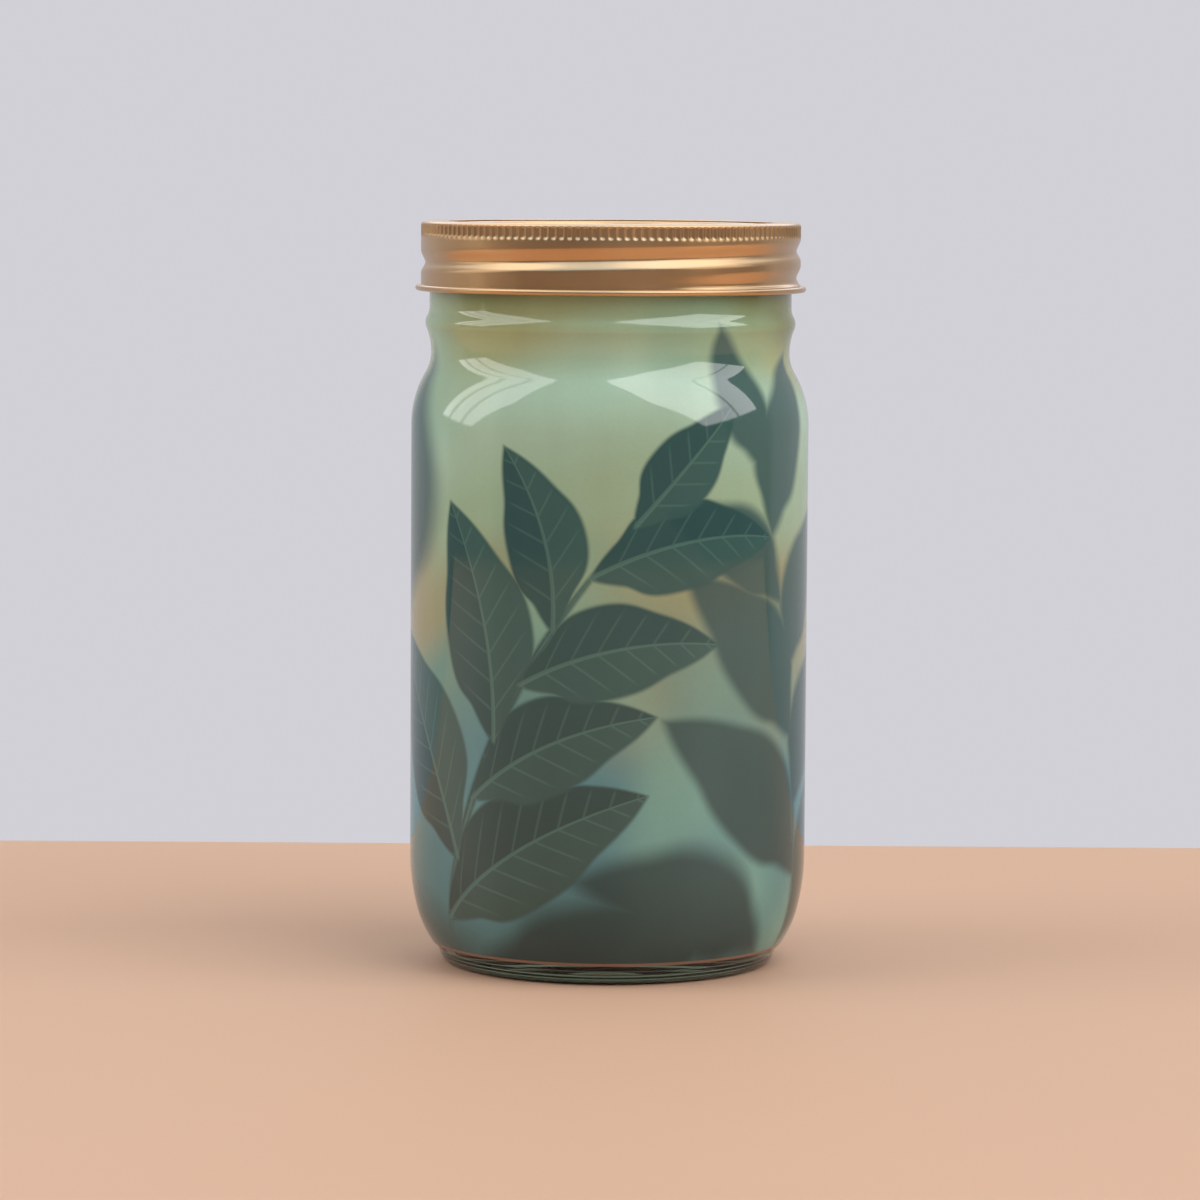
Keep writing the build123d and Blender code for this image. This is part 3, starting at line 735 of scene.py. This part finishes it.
def printedFilm():
    material, tree, shader, place = newMaterial("printedFilm")
    parts = addNode(tree, "ShaderNodeSeparateXYZ", {0: place}).outputs
    turn = addMath(tree, "ARCTAN2", parts[0], addMath(tree, "MULTIPLY", parts[1], -1.0))
    across = addMath(tree, "MULTIPLY", turn, printLook["radius"])
    up = addMath(tree, "DIVIDE", parts[2], mm)
    drift = addRange(tree, addNoise(tree, place, scale=16, detail=1.0), *printLook["driftSpan"],
                     -printLook["drift"], printLook["drift"])
    level = addMath(tree, "ADD", addMath(tree, "DIVIDE", up, printLook["height"]), drift)
    ground = addRamp(tree, level, printLook["heights"], smooth=True)
    olive = addNoise(tree, place, scale=22, detail=1.0, stretch=(1, 1, 0.6))
    olive = addEase(tree, olive, *printLook["oliveSpan"], 0.0, printLook["oliveMost"])
    away = addMath(tree, "ABSOLUTE", addMath(tree, "SUBTRACT", up, printLook["oliveZ"]))
    olive = addMath(tree, "MULTIPLY", olive, addEase(tree, away, *printLook["oliveReach"], 1.0, 0.0))
    ground = addMix(tree, olive, ground, printLook["olive"])
    mint = addNoise(tree, place, scale=27, detail=1.0, stretch=(1, 1, 0.8))
    mint = addEase(tree, mint, *printLook["mintSpan"], 0.0, printLook["mintMost"])
    ground = addMix(tree, mint, ground, printLook["mint"])
    group = leafShape()
    layers = listLeaves()
    covers = {}
    vein, lit = 0.0, 0.0
    for layer, leaves in layers.items():
        cover = None
        for base, heading, length, half, bend, soft in leaves:
            leaf = addNode(tree, "ShaderNodeGroup", node_tree=group)
            feed(tree, leaf, Across=across, Up=up, Base_Across=base[0], Base_Up=base[1], Sine=sin(heading),
                 Cosine=cos(heading), Length=length, Half_Width=half, Bend=bend, Soft=soft)
            cover = addMath(tree, "MAXIMUM", cover, leaf.outputs["Cover"]) if cover else leaf.outputs["Cover"]
            if layer == "crisp":             # the leaf on top keeps its own veins
                vein = addBlend(tree, leaf.outputs["Cover"], vein, leaf.outputs["Vein"])
                lit = addBlend(tree, leaf.outputs["Cover"], lit, leaf.outputs["Lit"])
        covers[layer] = cover
    climb = addRange(tree, up, *printLook["leafClimb"], 0.0, 1.0)
    leafTone = addMix(tree, climb, printLook["leafLow"], printLook["leafHigh"])
    softTone = addMix(tree, climb, printLook["softLow"], printLook["softLeaf"])
    lighter = addMath(tree, "MULTIPLY_ADD", lit, printLook["litHalf"],
                      addMath(tree, "MULTIPLY", vein, printLook["veinLift"]))
    leafTone = addMix(tree, lighter, leafTone, printLook["vein"])
    softCover = addMath(tree, "MULTIPLY", covers["soft"], printLook["softCover"])
    colour = addMix(tree, softCover, ground, softTone)
    leafCover = addMath(tree, "MULTIPLY", covers["crisp"], printLook["leafCover"])
    colour = addMix(tree, leafCover, colour, leafTone)
    tableReflection = addMath(tree, "LESS_THAN", up, printLook["tableReflectionTop"])    # painted reflection: a brown band along the film's lower edge stands for the table seen in the glass heel
    colour = addMix(tree, tableReflection, colour, printLook["tableReflection"])
    streak = addNoise(tree, place, scale=90, detail=2.0, stretch=(1, 1, 0.02))
    grain = addSpread(tree, addNoise(tree, place, scale=1400, detail=1.0), *printLook["grain"])
    shade = addMath(tree, "MULTIPLY", addSpread(tree, streak, *printLook["streak"]), grain)
    colour = addNode(tree, "ShaderNodeVectorMath", {0: colour, "Scale": shade}, operation="SCALE").outputs[0]
    ripple = addNoise(tree, place, scale=26, detail=1.0)
    feed(tree, shader, Base_Color=colour, IOR=printLook["ior"],
         Roughness=addRange(tree, grain, *printLook["grain"], *printLook["roughness"]),
         Normal=addBump(tree, ripple, strength=0.05, distance=0.0006))
    print("print:", sum(len(leaves) for leaves in layers.values()), "leaf shapes")
    return material


goldLook = {
    "tone": (0.62, 0.39, 0.188, 1), "deep": (0.56, 0.335, 0.155, 1), "roughness": (0.28, 0.34),
    "coat": 0.45, "coatRoughness": 0.2,
}


def goldLacquer():
    material, tree, shader, place = newMaterial("goldLacquer")
    cloud = addNoise(tree, place, scale=60, detail=3.0)
    grain = addNoise(tree, place, scale=2600, detail=2.0)
    colour = addMix(tree, addSpread(tree, cloud, 0.0, 1.0), goldLook["deep"], goldLook["tone"])
    feed(tree, shader, Base_Color=colour, Metallic=1.0,
         Roughness=addSpread(tree, cloud, *goldLook["roughness"]),
         Coat_Weight=goldLook["coat"], Coat_Roughness=goldLook["coatRoughness"],
         Normal=addBump(tree, grain, strength=0.05, distance=0.00005))
    return material


sealLook = {"dark": tint(214, 208, 192), "light": tint(231, 226, 212), "roughness": 0.62}


def sealRubber():
    material, tree, shader, place = newMaterial("sealRubber")
    speck = addNoise(tree, place, scale=900, detail=3.0)
    feed(tree, shader, Base_Color=addMix(tree, speck, sealLook["dark"], sealLook["light"]),
         Roughness=sealLook["roughness"], Normal=addBump(tree, speck, strength=0.12, distance=0.0001))
    return material


steelLook = {"dark": (0.52, 0.52, 0.51, 1), "light": (0.68, 0.68, 0.66, 1), "roughness": (0.28, 0.42)}


def brushedSteel():
    material, tree, shader, place = newMaterial("brushedSteel")
    brush = addNoise(tree, place, scale=240, detail=4.0, roughness=0.6, stretch=(1, 1, 14))
    feed(tree, shader, Base_Color=addMix(tree, brush, steelLook["dark"], steelLook["light"]), Metallic=1.0,
         Roughness=addSpread(tree, brush, *steelLook["roughness"]),
         Normal=addBump(tree, brush, strength=0.08, distance=0.0001))
    return material


feltLook = {"dark": tint(198, 192, 176), "light": tint(240, 236, 224), "roughness": 0.95, "sheen": 0.3}


def woolFelt():
    material, tree, shader, place = newMaterial("woolFelt")
    fibre = addNoise(tree, place, scale=700, detail=5.0, roughness=0.65)
    matted = addNoise(tree, place, scale=120, detail=3.0)
    colour = addMix(tree, addMath(tree, "MULTIPLY", fibre, matted), feltLook["dark"], feltLook["light"])
    feed(tree, shader, Base_Color=colour, Roughness=feltLook["roughness"], Sheen_Weight=feltLook["sheen"],
         Normal=addBump(tree, fibre, strength=0.5, distance=0.0006))
    return material


coirLook = {
    "tones": [(0.35, tint(52, 34, 20)), (0.55, tint(104, 72, 44)), (0.75, tint(160, 122, 80))],
    "roughness": 0.92,
}


def pressedCoir():
    material, tree, shader, place = newMaterial("pressedCoir")
    strands = addNoise(tree, place, scale=260, detail=5.0, roughness=0.7, stretch=(1, 0.25, 1))
    cross = addNoise(tree, place, scale=300, detail=5.0, roughness=0.7, stretch=(0.25, 1, 1))
    fibre = addMath(tree, "MAXIMUM", strands, cross)
    feed(tree, shader, Base_Color=addRamp(tree, fibre, coirLook["tones"]), Roughness=coirLook["roughness"],
         Normal=addBump(tree, fibre, strength=0.7, distance=0.0012))
    return material


paperLook = {"fleckSpan": (0.62, 0.7), "fleckMost": 0.35, "roughness": 0.8}


def packetPaper(name, dark, light):
    material, tree, shader, place = newMaterial(name)
    pulp = addNoise(tree, place, scale=380, detail=4.0, roughness=0.6)
    fleck = addNoise(tree, place, scale=1500, detail=2.0)
    fleck = addEase(tree, fleck, *paperLook["fleckSpan"], 0.0, paperLook["fleckMost"])
    colour = addMix(tree, fleck, addMix(tree, pulp, dark, light), dark)
    feed(tree, shader, Base_Color=colour, Roughness=paperLook["roughness"],
         Normal=addBump(tree, pulp, strength=0.2, distance=0.0003))
    return material


# build

gold, steel = goldLacquer(), brushedSteel()
buildGlassJar(clearGlass())
buildSleeve(printedFilm())
band = buildBand(gold)
disc = buildDisc(gold)
buildSeal(sealRubber())
buildWick(woolFelt())
buildCoir(pressedCoir())
for node, sizes in sachets.items():
    buildSachet(node, packetPaper(sizes["slot"], sizes["dark"], sizes["light"]))
for node in ("pot_rim", "pot_wall", "pot_base"):
    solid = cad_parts[node]
    solid.data.materials.clear()
    solid.data.materials.append(steel)
print("pieces built")


# floor, light and camera

stage = {
    "tone": (0.757, 0.473, 0.316, 1), "mottle": 0.97, "roughness": 0.6,
    "radius": 1.25, "back": 0.2, "roundSteps": 128,
}
windows = {                                  # corners and bars across and up, as shares of the distance
    "left": {
        "facing": -82, "corners": [(-0.62, 0.10), (-0.05, -0.02), (0.42, 0.48), (0.95, 2.0), (0.33, 2.0)],
        "bars": [((-0.44, 0.06), (0.53, 2.0)), ((-0.22, 0.02), (0.76, 2.0))], "gleam": 3.7,
    },
    "right": {
        "facing": 50, "corners": [(0.09, 0.05), (1.06, 0.34), (0.65, 2.6), (-1.45, 2.6), (-0.50, 0.66)],
        "bars": [((0.58, 0.20), (-0.20, 2.6))], "gleam": 4.8,
    },
}
windowLight = {
    "distance": 1.3, "apart": 0.02, "fill": 1.9, "goldGleam": 1.0, "centreZ": 0.135,
    "soft": 0.05, "barHalf": 0.012, "barEdge": 3.0, "barDepth": 0.6,
}
skyPanels = {                                # overhead, only mirrored by the lacquer
    "skyFront": {"middle": -1.4, "size": (3.6, 1.6), "radiance": 0.85, "tone": (0.79, 1.22, 1.88)},
    "skyBack": {"middle": 1.7, "size": (3.6, 4.6), "radiance": 1.2, "tone": (0.92, 1.06, 1.27)},
}
skyHeight = 1.4
room = {                                     # spans: where one tone turns into the next, back and up
    "view": (0.64, 0.632, 0.675, 1),
    "ambientFront": (0.41, 0.415, 0.43, 1), "ambientBack": (0.73, 0.735, 0.75, 1), "ambientSpan": (-0.6, 0.6),
    "front": (0.215, 0.205, 0.215, 1), "behind": (0.52, 0.515, 0.55, 1), "behindSpan": (0.22, 0.36),
    "above": (0.34, 0.34, 0.36, 1), "aboveSpan": (0.25, 0.75),
}
camera = {
    "distance": 1.190, "height": 0.1919, "pitch": 5.08, "yaw": 0.10, "roll": 0.35,
    "lens": 150.95, "sensor": 36.0, "clipStart": 0.01,
}


def buildFloor():
    material, tree, shader, place = newMaterial("paleFloor")
    cloud = addNoise(tree, place, scale=9, detail=2.0)
    low = tuple(stage["mottle"] * level for level in stage["tone"][:3]) + (1,)
    feed(tree, shader, Base_Color=addMix(tree, cloud, low, stage["tone"]), Roughness=stage["roughness"])
    bm = bmesh.new()
    bmesh.ops.create_circle(bm, segments=stage["roundSteps"], radius=stage["radius"], cap_ends=True)
    bmesh.ops.bisect_plane(bm, geom=bm.verts[:] + bm.edges[:] + bm.faces[:], plane_co=(0, stage["back"], 0),
                           plane_no=(0, 1, 0), clear_outer=True)
    mesh = bpy.data.meshes.new("paleFloor")
    bm.to_mesh(mesh)
    bm.free()
    mesh.materials.append(material)
    floor = bpy.data.objects.new("paleFloor", mesh)
    bpy.context.collection.objects.link(floor)


def lineBetween(tree, across, up, start, end):   # distance to the left of a line, worked out in nodes
    length = sqrt((end[0] - start[0]) ** 2 + (end[1] - start[1]) ** 2)
    sideways, upward = (start[1] - end[1]) / length, (end[0] - start[0]) / length
    away = addMath(tree, "MULTIPLY_ADD", across, sideways, addMath(tree, "MULTIPLY", up, upward))
    return addMath(tree, "SUBTRACT", away, sideways * start[0] + upward * start[1])


def shadePane(lamp, corners, bars, low, high):   # soft edges and thin bars inside the lamp's rectangle
    lamp.use_nodes = True
    tree = lamp.node_tree
    spot = addNode(tree, "ShaderNodeNewGeometry").outputs["Parametric"]
    place = addNode(tree, "ShaderNodeSeparateXYZ", {0: spot}).outputs
    across = addRange(tree, place[0], 0.0, 1.0, low[0], high[0])
    up = addRange(tree, place[1], 0.0, 1.0, low[1], high[1])
    half = windowLight["barHalf"]
    level = 1.0
    for index, corner in enumerate(corners):
        inside = lineBetween(tree, across, up, corner, corners[(index + 1) % len(corners)])
        level = addMath(tree, "MULTIPLY", level, addEase(tree, inside, 0.0, windowLight["soft"]))
    for foot, head in bars:
        away = addMath(tree, "ABSOLUTE", lineBetween(tree, across, up, foot, head))
        bar = addEase(tree, away, half, windowLight["barEdge"] * half, 1 - windowLight["barDepth"])
        level = addMath(tree, "MULTIPLY", level, bar)
    tree.links.new(level, tree.nodes["Emission"].inputs["Strength"])


def linkLamp(holder, pieces, state):         # which pieces the lamp lights, or passes by
    linked = bpy.data.collections.new(holder.name + "Pieces")
    for piece in pieces:
        linked.objects.link(piece)
    for entry in linked.collection_objects:
        entry.light_linking.link_state = state
    holder.light_linking.receiver_collection = linked


def hangLamp(name, sizes, radiance, place):
    lamp = bpy.data.lights.new(name, "AREA")
    lamp.shape = "RECTANGLE"
    lamp.size, lamp.size_y = sizes
    lamp.energy = radiance * pi * lamp.size * lamp.size_y
    holder = bpy.data.objects.new(name, lamp)
    holder.matrix_world = place
    holder.visible_camera = False
    bpy.context.collection.objects.link(holder)
    return holder


def hangWindow(name, sizes, radiance, reach):
    facing = radians(sizes["facing"])
    outward = Vector((sin(facing), -cos(facing), 0))
    aside = Vector((cos(facing), sin(facing), 0))
    upward = Vector((0, 0, 1))
    low = Vector([min(values) for values in zip(*sizes["corners"])])
    high = Vector([max(values) for values in zip(*sizes["corners"])])
    middle = (low + high) / 2
    spot = reach * (outward + aside * middle.x + upward * middle.y) + upward * windowLight["centreZ"]
    place = Matrix.Translation(spot) @ Matrix((aside, upward, outward)).transposed().to_4x4()
    holder = hangLamp(name, reach * (high - low), radiance, place)
    shadePane(holder.data, sizes["corners"], sizes["bars"], low, high)
    return holder


def hangSky(pieces):
    for name, sizes in skyPanels.items():
        place = Matrix.Translation((0, sizes["middle"], skyHeight))
        holder = hangLamp(name, sizes["size"], sizes["radiance"], place)
        holder.data.color = sizes["tone"]
        linkLamp(holder, pieces, "INCLUDE")


def paintRoom():
    world = bpy.data.worlds.new("room")
    bpy.context.scene.world = world
    world.use_nodes = True
    tree = world.node_tree
    tree.nodes.clear()
    path = addNode(tree, "ShaderNodeLightPath").outputs
    aim = addNode(tree, "ShaderNodeTexCoord").outputs["Generated"]
    way = addNode(tree, "ShaderNodeSeparateXYZ", {0: aim}).outputs
    around = addMix(tree, addEase(tree, way[1], *room["behindSpan"]), room["front"], room["behind"])
    around = addMix(tree, addEase(tree, way[2], *room["aboveSpan"]), around, room["above"])
    ambient = addRange(tree, way[1], *room["ambientSpan"], 0.0, 1.0)
    ambient = addMix(tree, ambient, room["ambientFront"], room["ambientBack"])
    plain = addNode(tree, "ShaderNodeBackground", {0: ambient}).outputs[0]
    mirrored = addNode(tree, "ShaderNodeBackground", {0: around}).outputs[0]
    seen = addNode(tree, "ShaderNodeBackground", {0: room["view"]}).outputs[0]
    light = addNode(tree, "ShaderNodeMixShader", {0: path["Is Glossy Ray"], 1: plain, 2: mirrored}).outputs[0]
    direct = addMath(tree, "MAXIMUM", path["Is Camera Ray"], path["Is Transmission Ray"])
    light = addNode(tree, "ShaderNodeMixShader", {0: direct, 1: light, 2: seen}).outputs[0]
    addNode(tree, "ShaderNodeOutputWorld", {0: light})


def placeCamera():
    lens = bpy.data.cameras.new("viewCamera")
    lens.lens = camera["lens"]
    lens.sensor_width = camera["sensor"]
    lens.clip_start = camera["clipStart"]
    holder = bpy.data.objects.new("viewCamera", lens)
    turn = Matrix.Rotation(radians(camera["yaw"]), 4, "Z")
    tilt = Matrix.Rotation(radians(90 - camera["pitch"]), 4, "X")
    roll = Matrix.Rotation(radians(camera["roll"]), 4, "Z")
    place = Matrix.Translation((0, -camera["distance"], camera["height"]))
    holder.matrix_world = place @ turn @ tilt @ roll
    bpy.context.collection.objects.link(holder)
    bpy.context.scene.camera = holder


buildFloor()
distance, apart = windowLight["distance"], windowLight["apart"]
for name, sizes in windows.items():          # lamps in one plane would hide each other, so they stand apart
    fill = hangWindow(name + "Fill", sizes, windowLight["fill"], distance)
    fill.visible_glossy = False
    fill.visible_transmission = False
    gleam = hangWindow(name + "Gleam", sizes, sizes["gleam"], distance + apart)
    gleam.visible_diffuse = False
    linkLamp(gleam, [band, disc], "EXCLUDE")     # the lacquer mirrors dimmer panes
    dimmer = hangWindow(name + "Dimmer", sizes, windowLight["goldGleam"], distance - apart)
    linkLamp(dimmer, [band, disc], "INCLUDE")
hangSky([band, disc])
paintRoom()
placeCamera()
bpy.context.scene.view_settings.view_transform = "Standard"
print("stage set")
